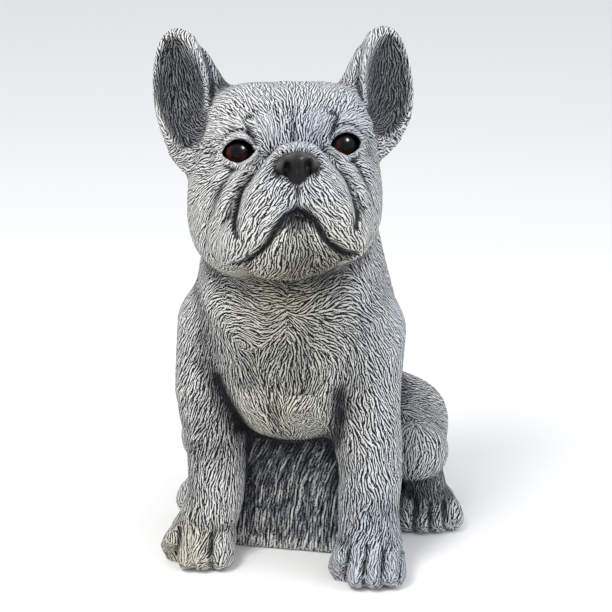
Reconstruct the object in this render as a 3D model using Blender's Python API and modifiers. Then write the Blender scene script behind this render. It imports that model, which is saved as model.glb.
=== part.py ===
"""Seated French bulldog, a garden figure cast in stone, with two set-in glossy eyes.

Metres, +Z up, the dog faces -Y and stands on z = 0. The figure is free-form, so its
proportions are kept as shares of its height, which is TALL units.
The casting is one blended form. Blender primitives are joined and voxel-remeshed, the
result is drawn on to the blended form, and a decimate brings it to its facet count.
"""
import bpy
import math
import numpy as np

HEIGHT = 0.380                    # estimated: a solid cast garden dog of the usual size
TALL = 373.25                     # units from the ground to the ear tips
UNIT = HEIGHT / TALL              # every length below is in these units
VOXEL = 2.6                       # first mesh of the casting
FACETS = 7600                     # triangles of the finished casting
EYE_GAP = 0.3                     # the eye stands this far off its socket

# the head has a frame of its own, which turns, lifts and tips as one
HEAD_AT = (-5.2, -50.9, 281.7)
HEAD_SIZE = 1.025                 # the head's own numbers are this much enlarged
HEAD_TURN, HEAD_LIFT, HEAD_TIP = 16.0, 28.0, 3.0
EYE_AT = (34.0, -27.0, 7.5)       # in the head's frame, one side
EYE_RADIUS = 10.5


# Form helpers
def turn(yaw=0.0, pitch=0.0, roll=0.0):
    """Rotation: yaw about z, then pitch about x (nose up), then roll about y."""
    y, p, r = (math.radians(v) for v in (yaw, -pitch, -roll))
    rz = np.array([[math.cos(y), -math.sin(y), 0], [math.sin(y), math.cos(y), 0], [0, 0, 1]])
    rx = np.array([[1, 0, 0], [0, math.cos(p), -math.sin(p)], [0, math.sin(p), math.cos(p)]])
    ry = np.array([[math.cos(r), 0, math.sin(r)], [0, 1, 0], [-math.sin(r), 0, math.cos(r)]])
    return rz @ rx @ ry


def egg(p, at, radii, axes=None):
    """Distance to an ellipsoid, close to true near its surface."""
    q = p - np.array(at, float)
    if axes is not None:
        q = q @ axes
    r = np.array(radii, float)
    near = np.sqrt(((q / r) ** 2).sum(1))
    slope = np.sqrt(((q / r ** 2) ** 2).sum(1))
    return near * (near - 1) / np.maximum(slope, 1e-9)


def limb(p, a, b, ra, rb):
    """Distance to a rounded limb from a to b whose radius goes from ra to rb."""
    a, b = np.array(a, float), np.array(b, float)
    run = b - a
    t = np.clip(((p - a) @ run) / (run @ run), 0, 1)
    return np.linalg.norm(p - a - t[:, None] * run, axis=1) - (ra + (rb - ra) * t)


def cord(p, points, radii):
    """Distance to a smooth strand through the points, with a radius at each."""
    pts = np.array(points, float)
    rad = np.array(radii, float) * np.ones(len(pts))
    ends = np.vstack([2 * pts[0] - pts[1], pts, 2 * pts[-1] - pts[-2]])
    line, size = [], []
    for i in range(len(pts) - 1):
        a, b, c, d = ends[i:i + 4]
        for t in (0.0, 0.25, 0.5, 0.75):
            line.append(0.5 * (2 * b + (c - a) * t + (2 * a - 5 * b + 4 * c - d) * t ** 2
                               + (3 * b - a - 3 * c + d) * t ** 3))
            size.append(rad[i] * (1 - t) + rad[i + 1] * t)
    line.append(pts[-1])
    size.append(rad[-1])
    dist = np.full(len(p), 1e9)
    for i in range(len(line) - 1):
        dist = np.minimum(dist, limb(p, line[i], line[i + 1], size[i], size[i + 1]))
    return dist


def slab(p, at, half, soft, axes=None):
    """Distance to a box of half sizes, rounded by soft."""
    q = p - np.array(at, float)
    if axes is not None:
        q = q @ axes
    q = np.abs(q) - (np.array(half, float) - soft)
    return np.linalg.norm(np.maximum(q, 0), axis=1) + np.minimum(q.max(1), 0) - soft


def blend(a, b, soft):
    """Union of a and b with a fillet."""
    h = np.clip(0.5 + 0.5 * (b - a) / soft, 0, 1)
    return b * (1 - h) + a * h - soft * h * (1 - h)


def carve(a, b, soft):
    """a with b taken away, the edge softened."""
    return -blend(-a, b, soft)


# The forms
def halves(q):
    """The head's coordinates with both sides folded together about its middle.

    The middle runs a little askew, as it does in the casting: the jaw sits to the
    dog's right of the eyes' middle and the ears to its left.
    """
    x, y, z = q.T
    middle = np.where(z > 8, 0.035, 0.085) * (z - 8)
    middle = middle - 0.06 * np.clip(y + 45, 0, 60) * np.clip((30 - z) / 30, 0, 1)
    return np.column_stack([np.abs(x - middle), y, z + 0.055 * x * np.clip((z - 8) / 40, 0, 1)])


def skull(m):
    """Skull and cheeks."""
    form = egg(m, (0, 6, 9), (62, 50, 51))
    form = blend(form, egg(m, (26, -4, 26), (32, 34, 32)), 8)
    form = blend(form, egg(m, (33, 0, -24), (31, 40, 36)), 16)
    form = blend(form, egg(m, (30, -14, -42), (27, 28, 25)), 12)
    return blend(form, egg(m, (0, 20, -30), (46, 46, 40)), 20)


def face(m, form):
    """Brows, lids, muzzle, rolls and nose, blended on to the skull."""
    form = blend(form, egg(m, (15, -33, 20), (12, 9, 10)), 5)
    form = blend(form, egg(m, (38, -25, 22), (16, 11, 8)), 6)
    form = blend(form, egg(m, (36, -28, -8), (15, 12, 9)), 6)
    # muzzle pads, hanging flews, lower jaw
    form = blend(form, egg(m, (0, -40, -24), (34, 30, 24)), 8)
    flew = cord(m, [(9, -55, -24), (18, -53, -35), (27, -47, -47), (33, -40, -55)],
                [13, 16, 16.5, 15])
    form = blend(form, flew, 7)
    form = blend(form, egg(m, (0, -36, -62), (34, 25, 17)), 3)
    form = blend(form, egg(m, (0, -46, -58), (26, 16, 14)), 5)
    # the rope of skin over the nose, and the fold from the eye round the muzzle
    roll = cord(m, [(0, -59, -0.5), (9, -58.5, -1.8), (15.5, -57, -6.5), (20, -55.5, -13),
                    (25, -53.5, -19.5), (29, -51.5, -26), (32.5, -48, -33)],
                [5, 5, 5, 5, 5, 4.6, 4])
    form = blend(form, roll, 3)
    fold = cord(m, [(24, -38, 4), (31, -40, -8), (40, -37, -21), (46, -33, -36), (47, -32, -50),
                    (41, -35, -61)], [4, 5, 5.5, 6, 6.5, 6])
    form = blend(form, fold, 6)
    form = blend(form, egg(m, EYE_AT, (15, 13.5, 13)), 5)
    form = blend(form, nose(m), 1.5)
    # creases: mouth line, brow, philtrum, nostrils, eye openings
    mouth = cord(m, [(0, -70, -41), (9, -68, -46), (16, -65, -54), (24, -61, -62), (33, -56, -67)],
                 [1.2, 1.8, 2.0, 2.0, 1.6])
    form = carve(form, mouth, 2.5)
    form = carve(form, cord(m, [(23, -44, 9), (24, -42, 16), (27, -39, 25)], [2, 2.2, 1.5]), 4)
    form = carve(form, cord(m, [(0, -70, -27), (0, -73, -40)], 1.0), 1.5)
    form = carve(form, cord(m, [(8, -77, -12), (9.5, -77, -17)], [2.4, 2.6]), 1)
    opening = egg(m, np.array(EYE_AT) + np.array((0.7, -10, 0)), (10.4, 12, 7.2), turn(18, 0, 4))
    return carve(form, opening, 2)


def nose(m):
    """The nose leather: a broad dome, two wings and a narrow foot."""
    form = egg(m, (0, -65.5, -10), (13.6, 10.5, 9))
    form = blend(form, egg(m, (9, -67, -13.5), (6.2, 8.5, 6.8)), 3)
    return blend(form, egg(m, (0, -66, -19.5), (8.2, 8.2, 7.6)), 3)


def ear(m):
    """One upright bat ear before it is scooped out."""
    shell = egg(m, (65, 3, 53), (23, 18, 47), turn(-14, -4, -8))
    return blend(shell, limb(m, (36, 6, 38), (58, 6, 66), 15, 10), 14)


def scoop(m):
    """What is scooped out of the ear, open forward and a little outward."""
    return egg(m, (68, -13, 56), (14.5, 25, 38), turn(-14, -4, -8))


def head(q, form):
    """The head in its own frame, x to the dog's left, y back, z up, set on the body."""
    m = halves(q)
    form = blend(form, skull(m), 10)
    w = (m[:, 1] < 10) & (m[:, 2] < 50)
    form[w] = face(m[w], form[w])
    w = (m[:, 2] > -15) & (m[:, 0] > 8)
    form[w] = carve(blend(form[w], ear(m[w]), 9), scoop(m[w]), 6)
    return form


def paw(p, at, width, length, height, yaw, lead):
    """A paw: a pad with four toes; at is the middle of its sole, lead the toe radius."""
    q = (p - np.array(at, float)) @ turn(yaw)
    form = egg(q, (0, 2, height * 0.40), (width * 0.46, length * 0.48, height * 0.62))
    reach = (0.27, 0.37, 0.36, 0.24)
    for i in range(4):
        x = (i - 1.5) * width * 0.24
        y = -length * reach[i]
        toe = limb(q, (x * 0.8, y + length * 0.30, height * 0.66), (x, y, height * 0.30),
                   lead, lead * 1.08)
        form = blend(form, toe, 1.4)
    return form


def foreleg(p, side):
    """Shoulder, arm and paw of one side; side is +1 on the dog's left."""
    top, x, foot, girth, ahead = (44, 54, 57, 22.5, -84) if side > 0 else (-60, -57, -65, 21, -78)
    arm = cord(p, [(top, -34, 165), (top * 1.02, -48, 120), (x, -62, 78), (x, -68, 44),
                   (foot, ahead + 6, 20)], [30, 28, girth, girth - 1, girth])
    return blend(arm, paw(p, (foot, ahead, 0), 51, 52, 31, side * 3, 7.8), 6)


def hindleg(p, side):
    """Haunch, shin and foot of one side; the dog's right foot is drawn further in."""
    form = limb(p, (side * 58, 50, 58), (side * 78, 12, 58), 43, 24)
    foot, outward = (88, 14) if side > 0 else (-78, -4)
    form = blend(form, limb(p, (side * 80, 16, 46), (foot, 14, 20), 16, 15), 4)
    form = blend(form, limb(p, (foot, 18, 12), (side * 66, 74, 13), 15, 14), 8)
    return blend(form, paw(p, (foot, 10, 0), 47, 48, 28, outward, 7.4), 5)


def body(p):
    """Chest, neck, back, rump and tail."""
    form = egg(p, (-6, -32, 150), (68, 58, 58))
    form = blend(form, egg(p, (-6, -50, 130), (46, 42, 40)), 14)
    form = blend(form, egg(p, (-8, -14, 205), (58, 56, 60)), 30)
    form = blend(form, limb(p, (-10, -26, 256), (-10, -28, 196), 54, 62), 24)
    form = blend(form, limb(p, (-4, -4, 150), (-2, 50, 84), 64, 58), 28)
    form = blend(form, egg(p, (0, 64, 46), (68, 54, 52)), 20)
    return blend(form, limb(p, (0, 106, 36), (0, 124, 30), 11, 8), 8)


def filling(p):
    """The block of bark that joins the legs under the belly."""
    return slab(p, (-6, 12, 50), (44, 68, 56), 8)


def figure(points):
    """Signed distance, in units, from the casting's surface; negative inside."""
    p = np.asarray(points, float)
    q = (p - np.array(HEAD_AT)) @ turn(HEAD_TURN, HEAD_LIFT, HEAD_TIP) / HEAD_SIZE
    form = body(p)
    for side in (1, -1):
        w = (p[:, 0] * side > 5) & (p[:, 1] < 25) & (p[:, 2] < 215)
        form[w] = blend(form[w], foreleg(p[w], side), 9)
        w = (p[:, 0] * side > 0) & (p[:, 1] > -50) & (p[:, 2] < 160)
        form[w] = blend(form[w], hindleg(p[w], side), 16)
    w = p[:, 2] < 130
    form[w] = blend(form[w], filling(p[w]), 4)
    w = (q ** 2).sum(1) < 135 ** 2
    form[w] = head(q[w], form[w] / HEAD_SIZE) * HEAD_SIZE
    return carve(form, p[:, 2], 3)


def draw_on(points, steps, most):
    """Moves points on to the casting's surface along its slope, at most so far a step."""
    pts = points.copy()
    h = 0.25
    for _ in range(steps):
        here = figure(pts)
        grad = np.stack([figure(pts + h * axis) - here for axis in np.eye(3)], 1) / h
        size = np.maximum((grad ** 2).sum(1), 0.25)
        move = -(here / size)[:, None] * grad
        length = np.linalg.norm(move, axis=1)
        pts += move * np.minimum(1.0, most / np.maximum(length, 1e-9))[:, None]
    return pts


# Blender pieces
def clear():
    for item in list(bpy.data.objects):
        bpy.data.objects.remove(item, do_unlink=True)


def material(name, colour, rough):
    made = bpy.data.materials.new(name)
    made.use_nodes = True
    shader = made.node_tree.nodes["Principled BSDF"]
    shader.inputs["Base Color"].default_value = (*colour, 1.0)
    shader.inputs["Roughness"].default_value = rough
    return made


def ball(name, at, radii, axes=None, detail=4):
    """An ellipsoid mesh, in units, as a starting solid."""
    bpy.ops.mesh.primitive_ico_sphere_add(subdivisions=detail, radius=1.0)
    item = bpy.context.object
    item.name = name
    pts = np.array([v.co[:] for v in item.data.vertices]) * np.array(radii, float)
    if axes is not None:
        pts = pts @ axes.T
    pts = pts + np.array(at, float)
    item.data.vertices.foreach_set("co", pts.ravel())
    item.data.update()
    return item


def coords(mesh):
    flat = np.empty(len(mesh.vertices) * 3)
    mesh.vertices.foreach_get("co", flat)
    return flat.reshape(-1, 3)


def put(mesh, pts):
    mesh.vertices.foreach_set("co", np.ascontiguousarray(pts).ravel())
    mesh.update()


def apply(item, kind, **settings):
    """Adds a modifier, sets it and applies it."""
    mod = item.modifiers.new(kind.lower(), kind)
    for key, value in settings.items():
        setattr(mod, key, value)
    bpy.context.view_layer.objects.active = item
    bpy.ops.object.modifier_apply(modifier=mod.name)


def start_solid():
    """Overlapping primitives near every part of the figure, joined, ears scooped."""
    axes = turn(HEAD_TURN, HEAD_LIFT, HEAD_TIP)
    place = lambda v: np.array(HEAD_AT) + axes @ np.array(v, float) * HEAD_SIZE
    parts = [ball("chest", (0, -32, 155), (72, 58, 66)),
             ball("neck", (-8, -18, 222), (60, 60, 66)),
             ball("back", (-2, 18, 125), (66, 72, 76)),
             ball("rump", (0, 66, 58), (70, 54, 58)),
             ball("tail", (0, 112, 38), (11, 20, 11)),
             ball("nose", place((-1, -65, -14)), (15, 11, 11), axes),
             ball("roll", place((-1, -50, -10)), (29, 15, 14), axes),
             ball("skull", place((0, 6, 8)), (61, 50, 50), axes),
             ball("muzzle", place((-3, -36, -34)), (46, 34, 34), axes),
             ball("jaw", place((-4, -34, -60)), (34, 26, 18), axes)]
    for side in (1, -1):
        lean = axes @ turn(-14 * side, -4, -8 * side)
        parts.append(ball("ear", place((65 * side, 3, 53)), (23, 18, 47), lean))
        parts.append(ball("cheek", place((33 * side - 4, -4, -28)), (30, 38, 36), axes))
        parts.append(ball("brow", place((26 * side, -4, 26)), (32, 34, 32), axes))
        parts.append(ball("jowl", place((40 * side - 5.4, -43, -54)), (9, 10, 12), axes))
        parts.append(ball("thigh", (64 * side, 42, 74), (36, 54, 46)))
        parts.append(ball("foot", (88 * side, 4, 16), (24, 28, 22)))
        parts.append(ball("heel", (75 * side, 46, 16), (18, 46, 19)))
        parts.append(ball("arm", (55 * side, -52, 95), (24, 26, 80)))
        parts.append(ball("paw", (61 * side, -74, 16), (26, 26, 22)))
    bpy.ops.mesh.primitive_cube_add(size=1.0)
    block = bpy.context.object
    block.scale = (86, 134, 104)
    block.location = (-6, 12, 52)
    bpy.ops.object.transform_apply(location=True, rotation=True, scale=True)
    parts.append(block)
    bpy.ops.object.select_all(action="DESELECT")
    for item in parts:
        item.select_set(True)
    bpy.context.view_layer.objects.active = parts[0]
    bpy.ops.object.join()
    whole = parts[0]
    apply(whole, "REMESH", mode="VOXEL", voxel_size=VOXEL * 1.3)
    for side in (1, -1):
        lean = axes @ turn(-14 * side, -4, -8 * side)
        tool = ball("scoop", place((68 * side, -13, 56)), (14.5, 25, 38), lean)
        apply(whole, "BOOLEAN", operation="DIFFERENCE", solver="EXACT", object=tool)
        bpy.data.objects.remove(tool, do_unlink=True)
    return whole


def casting():
    """The dog: remeshed and drawn on to the blended form, in turn."""
    item = start_solid()
    item.name = "dog"
    item.data.name = "dog"
    for voxel, steps in ((3.4, 4), (3.0, 4), (VOXEL, 3), (VOXEL, 2)):
        apply(item, "REMESH", mode="VOXEL", voxel_size=voxel)
        put(item.data, draw_on(coords(item.data), steps, voxel * 0.8))
    apply(item, "SMOOTH", factor=0.5, iterations=3)
    put(item.data, draw_on(coords(item.data), 1, 0.8))
    item.data.calc_loop_triangles()
    share = FACETS / len(item.data.loop_triangles)
    apply(item, "DECIMATE", decimate_type="COLLAPSE", ratio=share, use_collapse_triangulate=True)
    pts = coords(item.data)
    pts[:, 2] = np.where(pts[:, 2] < 0.5, 0.0, pts[:, 2])
    put(item.data, pts)
    return item


def eye_place(side):
    """Middle of one eyeball, in units, where the folded halves put it."""
    x, y, z = EYE_AT
    middle = 0.085 * (z - 8) - 0.06 * (y + 45) * (30 - z) / 30
    at = np.array((side * x + middle, y, z))
    return np.array(HEAD_AT) + turn(HEAD_TURN, HEAD_LIFT, HEAD_TIP) @ at * HEAD_SIZE


def eyeball(name, side, radius):
    """One eye, or with a larger radius the cutter of its socket."""
    bpy.ops.mesh.primitive_uv_sphere_add(segments=20, ring_count=12, radius=radius)
    item = bpy.context.object
    item.name = name
    item.data.name = name
    pts = coords(item.data) @ turn(HEAD_TURN, HEAD_LIFT + 90, 0).T + eye_place(side)
    put(item.data, pts)
    return item


def main():
    clear()
    dog = casting()
    pieces = [dog]
    for name, side in (("eye_left", 1), ("eye_right", -1)):
        socket = eyeball("socket", side, EYE_RADIUS * HEAD_SIZE + EYE_GAP)
        apply(dog, "BOOLEAN", operation="DIFFERENCE", solver="EXACT", object=socket)
        bpy.data.objects.remove(socket, do_unlink=True)
        pieces.append(eyeball(name, side, EYE_RADIUS * HEAD_SIZE))
    apply(dog, "TRIANGULATE")
    box = coords(dog.data)
    middle = (box.min(0) + box.max(0)) / 2
    middle[2] = 0.0
    for item in pieces:
        put(item.data, (coords(item.data) - middle) * UNIT)
        item.data.shade_smooth()
    dog.data.materials.append(material("cast stone", (0.30, 0.30, 0.31), 0.85))
    gloss = material("glossy eye", (0.03, 0.012, 0.008), 0.08)
    for item in pieces[1:]:
        item.data.materials.append(gloss)
    group = bpy.data.collections.new("french_bulldog_figure")
    bpy.context.scene.collection.children.link(group)
    for item in pieces:
        for old in list(item.users_collection):
            old.objects.unlink(item)
        group.objects.link(item)


main()
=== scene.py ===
"""Seated French bulldog, a garden figure cast in stone and dry-brushed, with glossy eyes.

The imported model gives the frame. The casting is copied from its node, remeshed finer and
drawn on to the same blended form with its finer creases, then combed with carved fur and
split bark. All forms are in units of the source: UNIT metres, the dog faces -Y.
"""
import math
import bpy
import numpy as np
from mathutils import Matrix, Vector
from bpy.props import FloatProperty, PointerProperty, StringProperty


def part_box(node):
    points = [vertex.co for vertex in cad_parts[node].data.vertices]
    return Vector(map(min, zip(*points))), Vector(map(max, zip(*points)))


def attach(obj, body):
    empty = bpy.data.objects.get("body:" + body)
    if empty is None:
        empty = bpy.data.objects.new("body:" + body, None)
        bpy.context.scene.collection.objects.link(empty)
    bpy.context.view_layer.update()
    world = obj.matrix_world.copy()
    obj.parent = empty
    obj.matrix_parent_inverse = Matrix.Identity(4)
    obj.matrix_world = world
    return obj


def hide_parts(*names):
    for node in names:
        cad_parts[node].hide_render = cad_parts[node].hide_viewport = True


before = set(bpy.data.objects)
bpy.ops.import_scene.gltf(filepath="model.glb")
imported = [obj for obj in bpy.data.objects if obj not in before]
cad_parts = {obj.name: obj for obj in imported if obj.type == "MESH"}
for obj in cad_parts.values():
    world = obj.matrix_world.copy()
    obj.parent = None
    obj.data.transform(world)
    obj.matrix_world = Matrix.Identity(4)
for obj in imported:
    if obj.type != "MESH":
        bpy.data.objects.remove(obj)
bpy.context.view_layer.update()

bl_info = {
    "name": "Cast stone bulldog",
    "version": (1, 0, 0),
    "blender": (4, 5, 0),
    "location": "3D View > Sidebar > Bulldog",
    "description": "Builds the casting, the eyes and the studio of a seated garden bulldog",
    "category": "Object",
}

# the source's own measures; a unit is 1.018 mm, so the forms read as millimetres
UNIT = 0.380 / 373.25
MIDDLE = np.array((5.703, -3.976, 0.0))
MM = 1000.0
HEAD_AT = np.array((-5.2, -50.9, 281.7))
HEAD_SIZE = 1.025
HEAD_TURN, HEAD_LIFT, HEAD_TIP = 16.0, 28.0, 3.0
EYE_AT = np.array((34.0, -27.0, 7.5))
EYE_RADIUS = 10.5
EYE_GAP = 0.3
MOST_TRIANGLES = 196000
# stages of the finer mesh: voxel, times drawn on to the form, height over it; the first stages
# float over the form, so that no vertex starts inside a narrow crease
STAGES = ((2.4, 3, 2.0), (2.0, 2, 0.5), (1.3, 2, 0.0), (0.95, 1, 0.0), (0.95, 1, 0.0))
# sizes in metres of the stone's patchy tone, of its flecks and of the nose's grit
PATCH, FLECK, GRIT = 0.0143, 0.00143, 0.000625
# how many spots of noise make up one stroke of fur
TAPS = 7
# what lies lower than the sole is pressed flat on to the ground, in units
SOLE = 0.35
# a crest or a hollow shows by its height over the surface smoothed this many times, and shows
# fully at CREST units
SMOOTHED, CREST = 60, 1.5
# how much the drawn lines paint shade into creases and light onto ridges, and the most light that
# is painted
LINE_PAINT, LIGHTEST = 0.42, -0.5
# wide enough that its far edge stays out of a low view
FLOOR_SIZE = 40.0
# what the photo's camera looks at
LOOKED_AT = Vector((-0.00932, 0.00405, 0.17267))
# where the nose is painted pale, as dry-brushed wear with a painted highlight on its top and wings,
# and the line of each nostril, painted near black as the shade inside it, with its half width
WEAR_AND_HIGHLIGHT, WEAR_AND_HIGHLIGHT_REACH = ((5, -73, -8), (12, -72, -13)), 20.0
NOSTRIL, NOSTRIL_WIDTH = [(6.8, -13.5), (7.8, -17.5), (8.4, -20.4), (11, -21), (14, -17.5)], 2.2


# Form helpers
def turn(yaw=0.0, pitch=0.0, roll=0.0):
    """Rotation: yaw about z, then pitch about x (nose up), then roll about y."""
    y, p, r = (math.radians(v) for v in (yaw, -pitch, -roll))
    rz = np.array([[math.cos(y), -math.sin(y), 0], [math.sin(y), math.cos(y), 0], [0, 0, 1]])
    rx = np.array([[1, 0, 0], [0, math.cos(p), -math.sin(p)], [0, math.sin(p), math.cos(p)]])
    ry = np.array([[math.cos(r), 0, math.sin(r)], [0, 1, 0], [-math.sin(r), 0, math.cos(r)]])
    return rz @ rx @ ry


HEAD_AXES = turn(HEAD_TURN, HEAD_LIFT, HEAD_TIP)


def egg(p, at, radii, axes=None):
    """Distance to an ellipsoid, close to true near its surface."""
    q = p - np.array(at, float)
    if axes is not None:
        q = q @ axes
    r = np.array(radii, float)
    near = np.sqrt(((q / r) ** 2).sum(1))
    slope = np.sqrt(((q / r ** 2) ** 2).sum(1))
    return near * (near - 1) / np.maximum(slope, 1e-9)


def limb(p, a, b, ra, rb):
    """Distance to a rounded limb from a to b whose radius goes from ra to rb."""
    a, b = np.array(a, float), np.array(b, float)
    run = b - a
    t = np.clip(((p - a) @ run) / (run @ run), 0, 1)
    return np.linalg.norm(p - a - t[:, None] * run, axis=1) - (ra + (rb - ra) * t)


def cord(p, points, radii):
    """Distance to a smooth strand through the points, with a radius at each."""
    pts = np.array(points, float)
    rad = np.array(radii, float) * np.ones(len(pts))
    ends = np.vstack([2 * pts[0] - pts[1], pts, 2 * pts[-1] - pts[-2]])
    line, size = [], []
    for i in range(len(pts) - 1):
        a, b, c, d = ends[i:i + 4]
        for t in (0.0, 0.33, 0.67):
            line.append(0.5 * (2 * b + (c - a) * t + (2 * a - 5 * b + 4 * c - d) * t ** 2
                               + (3 * b - a - 3 * c + d) * t ** 3))
            size.append(rad[i] * (1 - t) + rad[i + 1] * t)
    line.append(pts[-1])
    size.append(rad[-1])
    dist = np.full(len(p), 1e9)
    margin = rad.max() + 16
    lo, hi = np.min(line, 0) - margin, np.max(line, 0) + margin
    near = ((p > lo) & (p < hi)).all(1)
    part = p[near]
    best = np.full(len(part), 1e9)
    for i in range(len(line) - 1):
        best = np.minimum(best, limb(part, line[i], line[i + 1], size[i], size[i + 1]))
    dist[near] = best
    return dist


def slab(p, at, half, soft):
    """Distance to a box of half sizes, rounded by soft."""
    q = np.abs(p - np.array(at, float)) - (np.array(half, float) - soft)
    return np.linalg.norm(np.maximum(q, 0), axis=1) + np.minimum(q.max(1), 0) - soft


def blend(a, b, soft):
    """Union of a and b with a fillet."""
    h = np.clip(0.5 + 0.5 * (b - a) / soft, 0, 1)
    return b * (1 - h) + a * h - soft * h * (1 - h)


def carve(a, b, soft):
    """a with b taken away, the edge softened."""
    return -blend(-a, b, soft)


def ease(x, lo, hi):
    """0 below lo, 1 above hi, smooth between."""
    t = np.clip((x - lo) / (hi - lo), 0, 1)
    return t * t * (3 - 2 * t)


# The dog's forms
def halves(q):
    """The head's coordinates, both sides folded together about its askew middle."""
    x, y, z = q.T
    middle = np.where(z > 8, 0.035, 0.085) * (z - 8)
    middle = middle - 0.06 * np.clip(y + 45, 0, 60) * np.clip((30 - z) / 30, 0, 1)
    return np.column_stack([np.abs(x - middle), y, z + 0.055 * x * np.clip((z - 8) / 40, 0, 1)])


def skull(m):
    """Brain case, brows, cheeks and nape, in the folded head."""
    form = egg(m, (0, 6, 9), (62, 50, 53))
    form = blend(form, egg(m, (26, -4, 26), (32, 34, 32)), 8)
    form = blend(form, egg(m, (33, 0, -24), (31, 40, 36)), 16)
    form = blend(form, egg(m, (30, -14, -42), (27, 28, 25)), 12)
    return blend(form, egg(m, (0, 20, -30), (46, 46, 40)), 20)


def nose(m):
    """The nose leather: a broad dome, two wings and a narrow foot."""
    form = egg(m, (0, -65.5, -12.4), (11.2, 10.8, 7.2))
    form = blend(form, egg(m, (8.0, -67, -14.4), (5.4, 8.2, 6.0)), 3)
    return blend(form, egg(m, (0, -66, -19.5), (7.2, 8.2, 7.3)), 3)


def muzzle(m, form):
    """Pads, flews and lower jaw, and the rope of skin over the nose."""
    form = blend(form, egg(m, (0, -40, -24), (34, 30, 24)), 8)
    flew = cord(m, [(9, -55, -24), (18, -53, -35), (27, -47, -47), (33, -40, -55)],
                [13, 16, 16.5, 15])
    form = blend(form, flew, 7)
    form = blend(form, egg(m, (0, -36, -62), (34, 25, 17)), 3)
    form = blend(form, egg(m, (0, -46, -58), (26, 16, 14)), 4)
    roll = cord(m, [(0, -61.5, -1.2), (9, -61, -2.6), (15.5, -59, -7), (20, -56.5, -13),
                    (25, -54, -19.5), (29, -51.5, -26), (32.5, -48, -33)],
                [5.2, 5.2, 5.2, 5.2, 5, 4.6, 4])
    form = blend(form, roll, 3)
    fold = cord(m, [(24, -38, 4), (31, -40, -8), (40, -37, -21), (46, -33, -36), (47, -32, -50),
                    (41, -35, -61)], [4, 5, 5.5, 6, 6.5, 6])
    return blend(form, fold, 6)


# Creases and ridges of the face, drawn on it from the front: the way of each line in x and z,
# its half width, and its depth, which is less than 0 for a ridge
FACE_LINES = {
    "outer edge of the nose roll": (
        [(0, 5), (8.5, 3.8), (14, 0.2), (18, -5), (22, -9), (27, -14.5), (32.4, -21), (35.7, -28),
         (37.3, -37), (38, -45), (37.2, -53)], 1.9, 2.7),
    "top of that roll": (
        [(0, -1.5), (9, -3), (15.5, -7.5), (20, -13.5), (25, -20), (29, -26.5)], 3.2, -0.8),
    "pocket beside the pad": ([(38.5, -39), (39, -46)], 3.2, 1.2),
    "fold from the eye round the muzzle": (
        [(24, 0.5), (29, -5), (35, -11.5), (39, -19), (42.5, -27.5), (45.5, -36), (47.5, -45),
         (46.5, -54), (42.5, -61)], 3.0, -1.4),
    "outer edge of that fold": (
        [(31, 1), (37, -4), (43, -12), (47, -20), (50.5, -29), (53.5, -39), (54, -50)], 2.0, 1.1),
    "mouth": (
        [(0, -41), (4.5, -42.6), (9.5, -46.6), (13, -51.3), (15.8, -56.5), (19.4, -61), (25, -64.6),
         (30.5, -66.8), (35.5, -67.8), (39.5, -67.5)], 1.3, 2.8),
    "rim of the upper lip": (
        [(0, -36), (6.5, -38), (13, -43), (17.5, -49.5), (20.5, -55), (24.5, -59), (31, -62)],
        3.2, -0.9),
    "lower lip": ([(0, -46.5), (4.5, -48.5), (8, -52.5), (11, -58), (15, -64)], 2.8, -0.8),
    "split under the nose": ([(0, -27), (0, -34), (0, -41)], 1.4, 0.9),
    "brow crease": (
        [(24.2, 8.5), (26.3, 15), (28.2, 20.5), (29.8, 23.8), (29, 26.5), (26.2, 27.4)], 1.8, 2.8),
    "brow pad": ([(14, 16.5), (17.5, 24)], 5.5, -2.6),
    "outer brow": ([(32, 24), (39, 24.5), (45, 20)], 4.5, -1.8),
    "middle of the forehead": ([(0, 10), (0, 22), (1.5, 33)], 2.6, 1.0),
    "furrow beside it": ([(11.5, 20), (10, 27), (11, 34)], 1.6, 0.6),
    "furrow over the brow": ([(22, 31), (28, 35), (35, 36)], 2.0, 0.5),
    "fold of the upper lid": ([(26.5, 15.5), (33, 19.5), (40, 18.5), (46, 13.5)], 1.2, 1.1),
    "upper lid": (
        [(23, 4.4), (25.7, 11), (30.5, 15.3), (36.5, 16.2), (42.2, 13.2), (46.4, 7.6)], 1.5, -1.3),
    "lower lid": (
        [(23, 4.4), (25.8, -0.4), (30, -3.4), (35.2, -3.9), (41, -0.8), (46.4, 7)], 1.5, -1.4),
    "under the lower lid": ([(27, -5), (32, -7.6), (38, -7), (43.5, -2.5)], 1.3, 1.0),
    "outer corner of the eye": ([(43.5, 7.2), (49, 8)], 1.0, 1.6),
    "inner corner of the eye": ([(26, 4.6), (21.5, 3)], 1.0, 2.0),
    "nostril": ([(6.8, -14), (7.8, -17.5)], 2.4, 4.2),
    "nostril's tail": (
        [(7.6, -18), (8.4, -20.4), (10.8, -21.2), (13.2, -19.4), (14.6, -16.4)], 1.1, 2.0),
    "split of the nose": ([(0, -13), (0, -20), (0, -27)], 0.7, 0.7),
}

# the same on the ears
EAR_LINES = {
    "rim of the ear": ([(60, 92), (56.5, 80), (53.5, 67), (52.5, 54), (54, 43)], 2.0, -1.3),
    "behind that rim": ([(56, 92), (52.5, 80), (49.5, 67), (48.5, 54), (50, 43)], 1.8, 1.5),
    "over the tuft at its foot": ([(84, 24), (78, 21), (71, 20), (65, 22)], 1.8, 1.8),
}

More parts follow.
